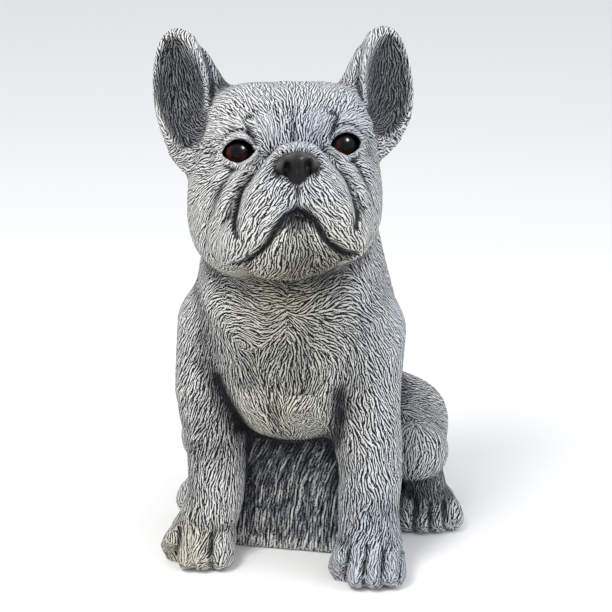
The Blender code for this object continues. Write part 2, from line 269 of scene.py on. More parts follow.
# the same in the dog's own x and z: creases of the chest and armpits, grooves between toes
CHEST_LINES = {
    "left armpit": ([(34, 134), (34, 121), (33.5, 107), (31, 92)], 5.5, 1.6),
    "right armpit": ([(-51, 136), (-47, 127), (-39.5, 115), (-37, 98)], 5.5, 1.6),
    "left half of the breast": ([(10, 120), (18, 108)], 15.0, -2.2),
    "right half of the breast": ([(-26, 122), (-18, 108)], 11.0, -1.6),
    "left paw, inner groove": ([(45, 25), (44.8, 18), (44.6, 5)], 1.2, 1.9),
    "left paw, middle groove": ([(57.4, 30), (57.2, 20), (57, 5)], 1.2, 2.1),
    "left paw, outer groove": ([(69.6, 27), (69.4, 18), (69.2, 5)], 1.2, 2.1),
    "left paw, first toe": ([(38.8, 22), (38.8, 10)], 4.5, -1.3),
    "left paw, second toe": ([(51, 28), (51, 10)], 4.5, -1.3),
    "left paw, third toe": ([(63.1, 28), (63.1, 10)], 4.5, -1.3),
    "left paw, fourth toe": ([(75.3, 22), (75.3, 10)], 4.5, -1.3),
    "right paw, big toe": ([(-68, 22), (-68, 9)], 7.0, -1.4),
    "right paw, inner groove": ([(-54.5, 26), (-53.6, 16), (-53, 4)], 1.4, 2.4),
    "right paw, outer groove": ([(-78, 26), (-77.5, 14), (-77.2, 4)], 1.6, 1.8),
}
HIND_LINES = {
    "hind paw, inner groove": ([(80.5, 23), (80.7, 5)], 1.2, 1.8),
    "hind paw, middle groove": ([(91, 22), (92.1, 5)], 1.2, 1.8),
    "hind paw, outer groove": ([(101, 22), (102.6, 6)], 1.2, 1.8),
}


def face_line(m, points):
    """Distance from a smooth line on the face, seen from its front."""
    flat = m.copy()
    flat[:, 1] = 0
    return cord(flat, [(x, 0, z) for x, z in points], 0)


def drawn(m, lines, front):
    """Height and paint of lines drawn on from the front, more than 0 in a crease."""
    height, paint = np.zeros(len(m)), np.zeros(len(m))
    for points, width, depth in lines.values():
        near = front * np.exp(-(face_line(m, points) / width) ** 2)
        height += depth * near
        paint += math.copysign(1.0, depth) * near
    return height, paint


def fronts(p, m):
    """How far each point takes the lines of the face, ears, chest and hind paws."""
    in_head = (m ** 2).sum(1) < 110 ** 2
    return (ease(-m[:, 1], 16, 30) * (m[:, 2] > -76) * in_head,
            ease(-m[:, 1], -6, 2) * (m[:, 2] > 12) * in_head * (m[:, 0] > 40),
            ease(-p[:, 1], 45, 60) * (p[:, 2] < 150),
            ease(-p[:, 1], -14, -4) * (p[:, 0] > 76) * (p[:, 2] < 40))


def eye_opening(m):
    """The almond between the lids, cut straight in from the front down to the eyeball."""
    tilt = math.radians(7)
    x, z = m[:, 0] - 34.6, m[:, 2] - 6.0
    along, up = x * math.cos(tilt) + z * math.sin(tilt), z * math.cos(tilt) - x * math.sin(tilt)
    arcs = np.maximum(np.hypot(along, up + 3.4), np.hypot(along, up - 3.4)) - 11.2
    return np.maximum(arcs, m[:, 1] + 31.5)


def face(m, form):
    """Brows, lids, muzzle, nose and the drawn creases, with the eye sockets cut."""
    form = blend(form, egg(m, (15, -33, 20), (12, 9, 10)), 5)
    form = blend(form, egg(m, (38, -25, 22), (16, 11, 8)), 6)
    form = blend(form, egg(m, (36, -28, -8), (15, 12, 9)), 6)
    form = muzzle(m, form)
    form = blend(form, egg(m, EYE_AT, (15, 13.5, 13)), 5)
    form = np.minimum(carve(form, nose(m) - 1.4, 1.0), nose(m))
    front = fronts(m, m)[0]
    w = front > 0
    form[w] += drawn(m[w], FACE_LINES, front[w])[0]
    form = carve(form, eye_opening(m), 0.5)
    return carve(form, egg(m, EYE_AT, np.full(3, EYE_RADIUS + EYE_GAP / HEAD_SIZE)), 0.4)


def ear(m):
    """An upright bat ear with the tuft at its foot and its root on the skull."""
    shell = egg(m, (65, 3, 53), (23, 18, 47), turn(-14, -4, -8))
    shell = blend(shell, egg(m, (73, 0, 13), (8, 8, 9)), 3)
    return blend(shell, limb(m, (36, 6, 38), (58, 6, 66), 15, 10), 14)


def scoop(m):
    """The hollow of the ear."""
    return egg(m, (69.5, -13.5, 57), (16.2, 25, 40), turn(-14, -4, -8))


def head(q, form):
    """The head in its own frame, x to the dog's left, y back, z up, set on the body."""
    m = halves(q)
    form = blend(form, skull(m), 10)
    w = (m[:, 1] < 10) & (m[:, 2] < 50)
    form[w] = face(m[w], form[w])
    w = (m[:, 2] > -15) & (m[:, 0] > 8)
    form[w] = carve(blend(form[w], ear(m[w]), 9), scoop(m[w]), 6)
    front = fronts(m, m)[1]
    w = w & (front > 0)
    form[w] += drawn(m[w], EAR_LINES, front[w])[0]
    return form


def paw(p, at, width, length, height, yaw, lead):
    """A paw: a pad with four toes; at is the middle of its sole, lead the toe radius."""
    q = (p - np.array(at, float)) @ turn(yaw)
    form = egg(q, (0, 2, height * 0.40), (width * 0.46, length * 0.48, height * 0.62))
    reach = (0.27, 0.37, 0.36, 0.24)
    for i in range(4):
        x = (i - 1.5) * width * 0.24
        y = -length * reach[i]
        toe = limb(q, (x * 0.8, y + length * 0.30, height * 0.66), (x, y, height * 0.30),
                   lead, lead * 1.08)
        form = blend(form, toe, 1.4)
    for side in (1, -1):
        knuckle = egg(q, (side * width * 0.36, -length * 0.2, height * 0.38),
                      (width * 0.155, length * 0.26, height * 0.42))
        form = blend(form, knuckle, 4)
    return form


def foreleg(p, side):
    """Shoulder, foreleg and paw; side is 1 for the dog's left."""
    top, x, foot, girth, ahead = (44, 54, 57, 22.5, -84) if side > 0 else (-60, -57, -65, 21, -78)
    arm = cord(p, [(top, -34, 165), (top * 1.02, -48, 120), (x, -62, 78), (x, -68, 44),
                   (foot, ahead + 6, 20)], [30, 28, girth, girth - 1, girth])
    return blend(arm, paw(p, (foot, ahead, 0), 51, 52, 31, side * 3, 7.8), 6)


def hindleg(p, side):
    """Folded thigh, shank, hock and paw."""
    form = limb(p, (side * 58, 50, 58), (side * 78, 12, 58), 43, 24)
    foot, outward = (88, 14) if side > 0 else (-78, -4)
    form = blend(form, limb(p, (side * 80, 16, 46), (foot, 14, 20), 16, 15), 4)
    form = blend(form, limb(p, (foot, 18, 12), (side * 66, 74, 13), 15, 14), 8)
    return blend(form, paw(p, (foot, 10, 0), 47, 48, 28, outward, 7.4), 5)


def body(p):
    """Chest, breast, shoulders, neck, belly, rump and the stub of the tail."""
    form = egg(p, (-6, -32, 150), (68, 58, 58))
    form = blend(form, egg(p, (-6, -50, 130), (46, 42, 40)), 14)
    form = blend(form, egg(p, (-8, -14, 205), (58, 56, 60)), 30)
    form = blend(form, limb(p, (-10, -26, 256), (-10, -28, 196), 54, 62), 24)
    form = blend(form, limb(p, (-4, -4, 150), (-2, 50, 84), 64, 58), 28)
    form = blend(form, egg(p, (0, 64, 46), (68, 54, 52)), 20)
    return blend(form, limb(p, (0, 106, 36), (0, 124, 30), 11, 8), 8)


def block(p):
    """The bark that joins the legs under the belly."""
    return slab(p, (-6, 12, 50), (44, 68, 56), 8)


def to_head(p):
    """World units to the head's own frame."""
    return (p - HEAD_AT) @ HEAD_AXES / HEAD_SIZE


def from_head(v):
    """A point of the head's frame in world units."""
    return HEAD_AT + HEAD_AXES @ np.array(v, float) * HEAD_SIZE


def limbs(p):
    """Body with legs, without the bark and the head."""
    form = body(p)
    for side in (1, -1):
        w = (p[:, 0] * side > 5) & (p[:, 1] < 25) & (p[:, 2] < 215)
        form[w] = blend(form[w], foreleg(p[w], side), 9)
        w = (p[:, 0] * side > 0) & (p[:, 1] > -50) & (p[:, 2] < 160)
        form[w] = blend(form[w], hindleg(p[w], side), 16)
    return form


def figure(p):
    """Signed distance, in units, from the casting's surface; negative inside."""
    form = limbs(p)
    w = p[:, 2] < 130
    form[w] = blend(form[w], block(p[w]), 4)
    for lines, front in ((CHEST_LINES, fronts(p, p)[2]), (HIND_LINES, fronts(p, p)[3])):
        w = front > 0
        form[w] += drawn(p[w], lines, front[w])[0]
    q = to_head(p)
    w = (q ** 2).sum(1) < 135 ** 2
    form[w] = head(q[w], form[w] / HEAD_SIZE) * HEAD_SIZE
    return carve(form, p[:, 2], 3)


def slope(p):
    """Distance from the surface and its gradient."""
    step = 0.2
    here = figure(p)
    return here, np.stack([figure(p + step * axis) - here for axis in np.eye(3)], 1) / step


def draw_on(points, steps, most, lift=0.0):
    """Moves points along the slope to lift over the casting's surface, most at a step."""
    pts = points.copy()
    for _ in range(steps):
        here, grad = slope(pts)
        here = here - lift
        move = -(here / np.maximum((grad ** 2).sum(1), 0.25))[:, None] * grad
        length = np.linalg.norm(move, axis=1)
        pts += move * np.minimum(1.0, most / np.maximum(length, 1e-9))[:, None]
    return pts


# Fur, which lies along listed directions
BODY_LAY = (
    # at x, y, z on the dog's left, its direction, and how far it reaches
    ((2, -92, 212), (1.0, 0, 0.5), 12), ((22, -86, 205), (0.9, 0.1, 0.5), 14),
    ((4, -93, 182), (0.8, 0, -0.8), 12), ((30, -84, 180), (0.9, 0.2, -0.4), 16),
    ((8, -92, 160), (0.2, 0, -1), 14), ((40, -76, 155), (0.2, 0.2, -1), 16),
    ((25, -88, 138), (-0.45, 0, -1), 16), ((6, -92, 120), (-0.25, 0, -1), 14),
    ((8, -84, 100), (-0.2, 0.2, -1), 14), ((60, -40, 175), (0.5, 0.3, -1), 22),
    ((76, -50, 130), (0.25, 0.2, -1), 22), ((50, -80, 110), (0.35, -0.1, -1), 18),
    ((60, -84, 75), (0.08, 0, -1), 20), ((60, -92, 40), (0, -0.3, -1), 16),
    ((60, -105, 18), (0, -1, -0.5), 14), ((30, -70, 60), (0, 0.1, -1), 14),
    ((52, -20, 240), (0.3, 0.5, -0.9), 24), ((0, 32, 250), (0, 0.5, -1), 26),
    ((0, 52, 180), (0, 0.7, -1), 30), ((0, 110, 90), (0, 0.5, -1), 26),
    ((70, 0, 140), (0.1, 0.7, -0.8), 24), ((88, 34, 118), (0.2, 0.6, -0.8), 20),
    ((104, 10, 85), (0.1, 0.2, -1), 20), ((92, 60, 60), (0, 0.7, -0.8), 22),
    ((92, -8, 40), (0, -0.4, -1), 16), ((92, -14, 14), (0.2, -1, -0.4), 14),
    ((0, 122, 34), (0, 0.8, -0.6), 12),
)
HEAD_LAY = (
    # the same in the head's frame
    ((3, -64, 4), (0.5, 0.2, 1), 8), ((2, -44, 18), (0.12, 0.3, 1), 9),
    ((14, -43, 20), (0.5, 0.3, 1), 9), ((26, -36, 34), (0.6, 0.5, 1), 12),
    ((6, -36, 42), (0.25, 0.7, 1), 12), ((12, -10, 60), (0.3, 1, 0.3), 18),
    ((38, -12, 50), (0.7, 0.8, 0.3), 14), ((38, -34, 22), (1, 0.3, 0.5), 9),
    ((30, -46, -6), (1, 0.2, -0.5), 8), ((42, -38, -10), (1, 0.4, -0.25), 10),
    ((54, -24, -6), (0.7, 0.9, -0.2), 12), ((56, -26, -28), (0.6, 0.6, -0.8), 14),
    ((50, -34, -48), (0.3, 0.5, -1), 12), ((14, -66, -30), (0.8, 0, -0.8), 8),
    ((26, -60, -32), (1, 0.2, -0.8), 9), ((4, -68, -36), (0.35, 0, -1), 6),
    ((22, -62, -50), (0.7, 0.2, -1), 9), ((36, -50, -58), (0.6, 0.4, -1), 10),
    ((4, -60, -56), (0.15, 0.1, -1), 9), ((18, -54, -70), (0.5, 0.4, -1), 10),
    ((6, -36, -78), (0.2, 0.9, -0.5), 12), ((22, -57, -10), (0.7, 0, -0.8), 5),
    ((10, -60, 1), (1, 0, -0.2), 5), ((60, 10, -20), (0.2, 1, -0.6), 20),
    ((62, 10, 20), (0.2, 1, 0.2), 14), ((0, 52, 20), (0, 0.5, -1), 30),
    ((0, 30, 58), (0, 1, -0.2), 22), ((84, -4, 60), (0.35, 0, 1), 12),
    ((72, 16, 60), (0.1, 0.2, 1), 12), ((54, -8, 70), (-0.25, 0, 1), 9),
    ((66, -2, 40), (0.3, 0, 1), 9), ((52, 14, 78), (-0.2, 0, 1), 12),
)
WHORL_AT, WHORL_REACH = (-38.0, -88.0, 176.0), 11.0


def lay(points, normals):
    """Direction in which the fur lies, along the surface."""
    flow = np.zeros_like(points)
    marks = []
    for at, way, reach in BODY_LAY:
        for side in (1, -1):
            flip = np.array((side, 1, 1))
            # a mark beside the middle counts on its own side, which parts the fur there
            own = points[:, 0] * side > 0 if at[0] else 1.0
            marks.append((np.array(at) * flip, np.array(way, float) * flip, reach, own))
    for at, way, reach in HEAD_LAY:
        for side in (1, -1):
            flip = np.array((side, 1, 1))
            marks.append((from_head(np.array(at) * flip), HEAD_AXES @ (np.array(way, float) * flip),
                          reach, 1.0))
    for at, way, reach, own in marks:
        far = ((points - at) ** 2).sum(1) / reach ** 2
        flow += (own / (1 + far) ** 3)[:, None] * way / np.linalg.norm(way)
    whorl = points - np.array(WHORL_AT)
    near = np.exp(-(whorl ** 2).sum(1) / (2 * WHORL_REACH ** 2))
    round_it = np.column_stack([-whorl[:, 2], 0 * near, whorl[:, 0]]) / WHORL_REACH
    flow += 0.5 * near[:, None] * round_it
    flow -= (flow * normals).sum(1)[:, None] * normals
    flow /= np.maximum(np.linalg.norm(flow, axis=1), 1e-9)[:, None]
    side = np.cross(normals, flow)
    sway = 0.9 * (speckle(points, 11.0, 5) - 0.5) + 0.7 * (speckle(points, 4.5, 9) - 0.5)
    flow = flow + side * sway[:, None]
    return flow / np.linalg.norm(flow, axis=1)[:, None]


def speckle(points, cell, seed):
    """Smooth noise from 0 to 1, one value a cell."""
    q = points / cell
    low = np.floor(q)
    t = q - low
    t = t * t * (3 - 2 * t)
    low = low.astype(np.int64)
    total = np.zeros(len(points))
    for corner in range(8):
        pick = np.array([(corner >> k) & 1 for k in range(3)])
        i = low + pick
        h = (i[:, 0] * 73856093) ^ (i[:, 1] * 19349663) ^ (i[:, 2] * 83492791) ^ (seed * 2654435761)
        h &= 0xFFFFFFFF
        h = ((h ^ (h >> 15)) * 2246822519) & 0xFFFFFFFF
        h = ((h ^ (h >> 13)) * 3266489917) & 0xFFFFFFFF
        h ^= h >> 16
        total += np.prod(np.where(pick, t, 1 - t), 1) * (h / 4294967295.0)
    return total


def strokes(points, along, reach, cell, seed, taps=9):
    """Noise smeared along a direction, reach long on both sides of a point, about 0.5."""
    total = np.zeros(len(points))
    for k in np.linspace(-1, 1, taps):
        total += speckle(points + along * (k * reach), cell, seed)
    return total / taps


def cracks(points, along, reach, cell, seed):
    """0 in the thin cracks between slats of bark, 1 on the slats."""
    return 1 - np.exp(-((strokes(points, along, reach, cell, seed, 13) - 0.5) / 0.05) ** 2)


# Meshes
def coords(mesh):
    """The mesh's points."""
    flat = np.empty(len(mesh.vertices) * 3)
    mesh.vertices.foreach_get("co", flat)
    return flat.reshape(-1, 3)


def put(mesh, pts):
    """Moves the mesh's points."""
    mesh.vertices.foreach_set("co", np.ascontiguousarray(pts).ravel())
    mesh.update()


def apply(item, kind, **settings):
    """Adds a modifier, sets it and applies it."""
    mod = item.modifiers.new(kind.lower(), kind)
    for key, value in settings.items():
        setattr(mod, key, value)
    bpy.context.view_layer.objects.active = item
    bpy.ops.object.modifier_apply(modifier=mod.name)


def note(mesh, name, values):
    """Stores a value or a vector at each point for the material."""
    values = np.asarray(values, float)
    kind = "FLOAT" if values.ndim == 1 else "FLOAT_VECTOR"
    data = mesh.attributes.new(name, kind, "POINT").data
    data.foreach_set("value" if values.ndim == 1 else "vector", values.ravel())


def dished(mesh, pts, normals, rounds):
    """How far each point stands over its smoothed surroundings, in units."""
    edge = np.empty(len(mesh.edges) * 2, dtype=np.int32)
    mesh.edges.foreach_get("vertices", edge)
    a, b = edge.reshape(-1, 2).T
    count = np.bincount(a, minlength=len(pts)) + np.bincount(b, minlength=len(pts))
    soft = pts.copy()
    for _ in range(rounds):
        for k in range(3):
            s = soft[:, k]
            around = (np.bincount(a, s[b], len(pts)) + np.bincount(b, s[a], len(pts))) / count
            soft[:, k] = 0.4 * s + 0.6 * around
    return ((pts - soft) * normals).sum(1)


def places(p):
    """Where bark, nose leather, sockets and ear bowls are, each from 0 to 1."""
    q = to_head(p)
    m = halves(q)
    bark = ease(limbs(p), 0.8, 3.0) * (p[:, 2] < 125)
    noseness = ease(-nose(m), -1.2, -0.5) * (m[:, 1] < -50)
    socket = 1 - ease(np.linalg.norm(m - EYE_AT, axis=1), EYE_RADIUS + 0.8, EYE_RADIUS + 2.4)
    bowl = ease(-scoop(m), -3.0, 3.5) * (m[:, 2] > 5)
    return m, bark, noseness, socket, bowl


def relief(p, normals, size):
    """Height of the carved surface in units, its paint tone, and the way of its strokes."""
    m, bark, noseness, socket, bowl = places(p)
    along = lay(p, normals)
    reach, pitch = size.fur_length * MM / 2, size.fur_pitch * MM
    fur = ease(strokes(p, along, reach, pitch * 1.4, 3), 0.36, 0.64)
    tuft = ease(strokes(p, along, reach * 1.5, pitch * 2.6, 7), 0.36, 0.64)
    lean = 0.1 + 0.5 * ease(p[:, 2], 25, 100)
    up = np.column_stack([lean, 0 * lean, np.ones(len(p))])
    grain = up - normals * (normals * up).sum(1)[:, None]
    grain /= np.maximum(np.linalg.norm(grain, axis=1), 1e-6)[:, None]
    # the grain of the bark wanders
    sway = 7 * (speckle(p, 20, 21) - 0.5)
    bent = p + np.column_stack([sway, sway, 0 * sway])
    split = cracks(bent, grain, 16.0, 3.0, 13)
    slat = cracks(bent, grain, 26.0, 5.6, 17)
    furry = (fur * 0.6 + tuft * 0.4 - 0.5) * size.fur_depth * MM
    barky = (split * 0.55 + slat * 0.45 - 0.7) * size.bark_depth * MM
    bare = (1 - noseness) * (1 - socket)
    high = bare * (furry * (1 - bark) + barky * bark)
    tone = (fur * 0.6 + tuft * 0.4) * (1 - bark) + (split * 0.6 + slat * 0.4) * bark
    long = 1 + 0.3 * ease(np.linalg.norm(m, axis=1), 70, 95)
    way = along * ((1 - bark) * long)[:, None] + 1.9 * grain * bark[:, None]
    return high, tone, way, (m, bark, noseness, socket, bowl)


# Colours and nodes
def ink(code):
    """Linear colour from an sRGB hex value."""
    part = [int(code[i:i + 2], 16) / 255 for i in (1, 3, 5)]
    return [v / 12.92 if v <= 0.04045 else ((v + 0.055) / 1.055) ** 2.4 for v in part] + [1.0]


def node(tree, kind, links=None, **settings):
    """Adds a node. Settings are its properties; links fill sockets, by name or number."""
    made = tree.nodes.new(kind)
    for key, value in settings.items():
        setattr(made, key, value)
    for key, value in (links or {}).items():
        socket = made.inputs[key]
        if isinstance(value, bpy.types.NodeSocket):
            tree.links.new(value, socket)
        else:
            socket.default_value = value
    return made


def math_node(tree, how, *values):
    """Adds a sum or product of values and sockets."""
    return node(tree, "ShaderNodeMath", dict(enumerate(values)), operation=how).outputs[0]


def vector_node(tree, how, *values):
    """The same with vectors."""
    return node(tree, "ShaderNodeVectorMath", dict(enumerate(values)), operation=how).outputs[0]


def noise(tree, place, scale, detail):
    """Adds noise about 0.5, with scale cells a metre."""
    return node(tree, "ShaderNodeTexNoise",
                {"Vector": place, "Scale": scale, "Detail": detail}).outputs[0]


def mixed(tree, amount, one, two, how="MIX"):
    """Adds a mix of two colours."""
    return node(tree, "ShaderNodeMix", {0: amount, 6: one, 7: two}, data_type="RGBA",
                blend_type=how).outputs[2]


def ramp(tree, value, stops):
    """Adds a colour ramp with stops of place and colour."""
    made = node(tree, "ShaderNodeValToRGB", {0: value})
    bands = made.color_ramp.elements
    while len(bands) < len(stops):
        bands.new(0.5)
    for band, (at, colour) in zip(bands, stops):
        band.position = at
        band.color = colour
    return made.outputs[0]


def new_material(name):
    """A material, its node tree and its main shader."""
    made = bpy.data.materials.new(name)
    made.use_nodes = True
    shader = made.node_tree.nodes["Principled BSDF"]
    return made, made.node_tree, shader


def note_of(tree, name, vector=False):
    """Reads what note stored on the mesh."""
    made = node(tree, "ShaderNodeAttribute", attribute_name=name)
    return made.outputs["Vector" if vector else "Fac"]


def brushed_stone(colours, size):
    """Cast stone, painted near black and dry-brushed pale: dark grooves, chalky ridges."""
    made, tree, shader = new_material("dry-brushed cast stone")
    place = node(tree, "ShaderNodeTexCoord").outputs["Object"]
    way = note_of(tree, "lay", True)
    face = node(tree, "ShaderNodeNewGeometry").outputs["Normal"]
    side = vector_node(tree, "CROSS_PRODUCT", way, face)
    total = 0.0
    for sign in (1.0, -1.0):
        # a stroke is the same noise seen at seven points along the lay of the fur, less the
        # same half a stroke to its side, which keeps light and dark strokes even
        shift = sign * size.fur_pitch / 4
        start = vector_node(tree, "MULTIPLY_ADD", side, (shift, shift, shift), place)
        for k in range(TAPS):
            share = (k / (TAPS - 1) - 0.5) * size.fur_length
            at = vector_node(tree, "MULTIPLY_ADD", way, (share, share, share), start)
            total = math_node(tree, "MULTIPLY_ADD", noise(tree, at, 1.6 / size.fur_pitch, 0.0),
                              sign, total)
    fine = node(tree, "ShaderNodeMapRange", {0: total, 1: -0.33, 2: 0.20},
                interpolation_type="SMOOTHSTEP").outputs[0]
    patch = noise(tree, place, 1 / PATCH, 3.0)
    fleck = noise(tree, place, 1 / FLECK, 2.0)
    bark, tone = note_of(tree, "bark"), note_of(tree, "tone")
    high = math_node(tree, "MULTIPLY_ADD", fine, 0.66, -0.27)
    # the last note here paints shade under the chin, in the creases and on the shaded side, and
    # light on the shoulder and crown
    for name, share in (("tone", 0.08), ("crest", 0.24), ("bowl", -0.20), ("bark", -0.09),
                        ("painted_shade_and_light", -0.38)):
        high = math_node(tree, "MULTIPLY_ADD", note_of(tree, name), share, high)
    # the bark shows its splits more than the fine strokes
    splits = math_node(tree, "MULTIPLY_ADD", tone, 0.16, math_node(tree, "MULTIPLY", fine, -0.10))
    high = math_node(tree, "MULTIPLY_ADD", splits, bark, high)
    high = math_node(tree, "MULTIPLY_ADD", patch, 0.22, high)
    high = math_node(tree, "MULTIPLY_ADD", fleck, 0.40, high)
    colour = ramp(tree, high, [(0.10, ink(colours.groove)), (0.32, ink(colours.shade)),
                               (0.54, ink(colours.stone)), (0.82, ink(colours.ridge))])
    # painted green reflected light and painted blue shade, multiplied into the stone
    for name, tint in (("painted_green_reflection", colours.painted_green_reflection), ("painted_blue_shade", colours.painted_blue_shade)):
        colour = mixed(tree, note_of(tree, name), colour, ink(tint), "MULTIPLY")
    lead = note_of(tree, "leather")
    grit = noise(tree, place, 1 / GRIT, 1.0)
    black = mixed(tree, grit, ink("#08080a"), ink(colours.nose))
    # the nose's top and wings paler: dry-brushed wear and a painted highlight
    black = mixed(tree, note_of(tree, "wear_and_highlight"), black, ink("#4c4846"))
    # painted shade, near black, in the nostrils and in the gap round the eyes
    black = mixed(tree, note_of(tree, "pit_shade"), black, ink("#050303"))
    tree.links.new(mixed(tree, lead, colour, black), shader.inputs["Base Color"])
    rough = node(tree, "ShaderNodeMapRange", {0: lead, 3: 0.8, 4: 0.4}).outputs[0]
    tree.links.new(rough, shader.inputs["Roughness"])
    shader.inputs["IOR"].default_value = 1.4
    wet = math_node(tree, "MULTIPLY_ADD", note_of(tree, "pit_shade"), -0.3, 0.3)
    tree.links.new(wet, shader.inputs["Specular IOR Level"])
    height = math_node(tree, "MULTIPLY_ADD", fleck, 0.35, fine)
    keep = math_node(tree, "MULTIPLY_ADD", lead, -0.95, 1.0)
    bump = node(tree, "ShaderNodeBump", {"Strength": 1.0, "Distance": 0.0006,
                                         "Height": math_node(tree, "MULTIPLY", height, keep)})
    tree.links.new(bump.outputs[0], shader.inputs["Normal"])
    return made


def glass_eye(colours):
    """Glass cabochon over brown enamel: wet black rim, brown iris, sharp highlight."""
    made, tree, shader = new_material("brown glass eye")
    rays = noise(tree, note_of(tree, "spoke", True), 6.0, 3.0)
    iris = mixed(tree, rays, ink(colours.iris_dark), ink(colours.iris))
    iris = mixed(tree, note_of(tree, "shadow"), iris, ink("#0b0605"))
    black, clear = ink("#060505"), (1, 1, 1, 1)
    # pupil, iris and rim, by the angle from the middle of the eye
    ring = ramp(tree, note_of(tree, "off"), [(0.30, black), (0.50, clear), (0.66, clear),
                                             (0.80, black)])
    tree.links.new(mixed(tree, 1.0, iris, ring, "MULTIPLY"), shader.inputs["Base Color"])
    shader.inputs["Roughness"].default_value = 0.25
    shader.inputs["Specular IOR Level"].default_value = 0.1
    shader.inputs["Coat Weight"].default_value = 0.22
    shader.inputs["Coat Roughness"].default_value = 0.02
    return made


# What a user may change
def hex_colour(name, code, text):
    """A colour that the user sets as an sRGB hex value."""
    return StringProperty(name=name, default=code, description=text)


class BulldogSizes(bpy.types.PropertyGroup):
    fur_pitch: FloatProperty(name="Fur pitch", default=0.00145, min=0.001, unit="LENGTH",
                             description="Distance from one carved stroke of fur to the next")
    fur_length: FloatProperty(name="Fur length", default=0.0034, min=0.002, unit="LENGTH",
                              description="Length of one stroke of fur")
    fur_depth: FloatProperty(name="Fur depth", default=0.0003, min=0.0, unit="LENGTH",
                             description="Depth of the carved fur")
    bark_depth: FloatProperty(name="Bark depth", default=0.0014, min=0.0, unit="LENGTH",
                              description="Depth of the splits in the bark")


class BulldogColours(bpy.types.PropertyGroup):
    groove: hex_colour("Groove", "#0c0d0f", "Dark ground left in the strokes")
    shade: hex_colour("Shade", "#303236", "Where the brush only grazed")
    stone: hex_colour("Stone", "#767779", "Most of the brushed stone")
    ridge: hex_colour("Ridge", "#d6d5d2", "Tops of the strokes")
    # painted green reflected light and shade, low on the front
    painted_green_reflection: hex_colour("Green reflection", "#ece6ce", "Green yellow cast under the chin and on the chest")
    # painted blue shade on the shaded side
    painted_blue_shade: hex_colour("Blue shade", "#dbe2f0", "Blue cast on the shaded side")
    nose: hex_colour("Nose", "#161617", "Charcoal of the nose")
    iris: hex_colour("Iris", "#4c2213", "Lit brown of the eye")
    iris_dark: hex_colour("Iris, dark", "#1c0d08", "Deep brown of the eye")


class BulldogStudio(bpy.types.PropertyGroup):
    azimuth: FloatProperty(name="Azimuth", default=math.radians(10.5), subtype="ANGLE",
                           description="How far the camera stands round to the dog's left")
    elevation: FloatProperty(name="Elevation", default=math.radians(18.07), subtype="ANGLE",
                             description="How far the camera looks down")
    distance: FloatProperty(name="Distance", default=1.2217, unit="LENGTH",
                            description="From the camera to the middle of the dog")
    field: FloatProperty(name="Field of view", default=math.radians(21.03), subtype="ANGLE",
                         description="Width of the camera's view")
    key: FloatProperty(name="Key light", default=25.0, unit="POWER",
                       description="Large soft light, high on the left")
    fill: FloatProperty(name="Fill light", default=11.0, unit="POWER",
                        description="Soft light from the right")
    sky: FloatProperty(name="Sky", default=0.86, description="Strength of the light all round")
    floor: hex_colour("Floor", "#f2f1ef", "Pale floor")


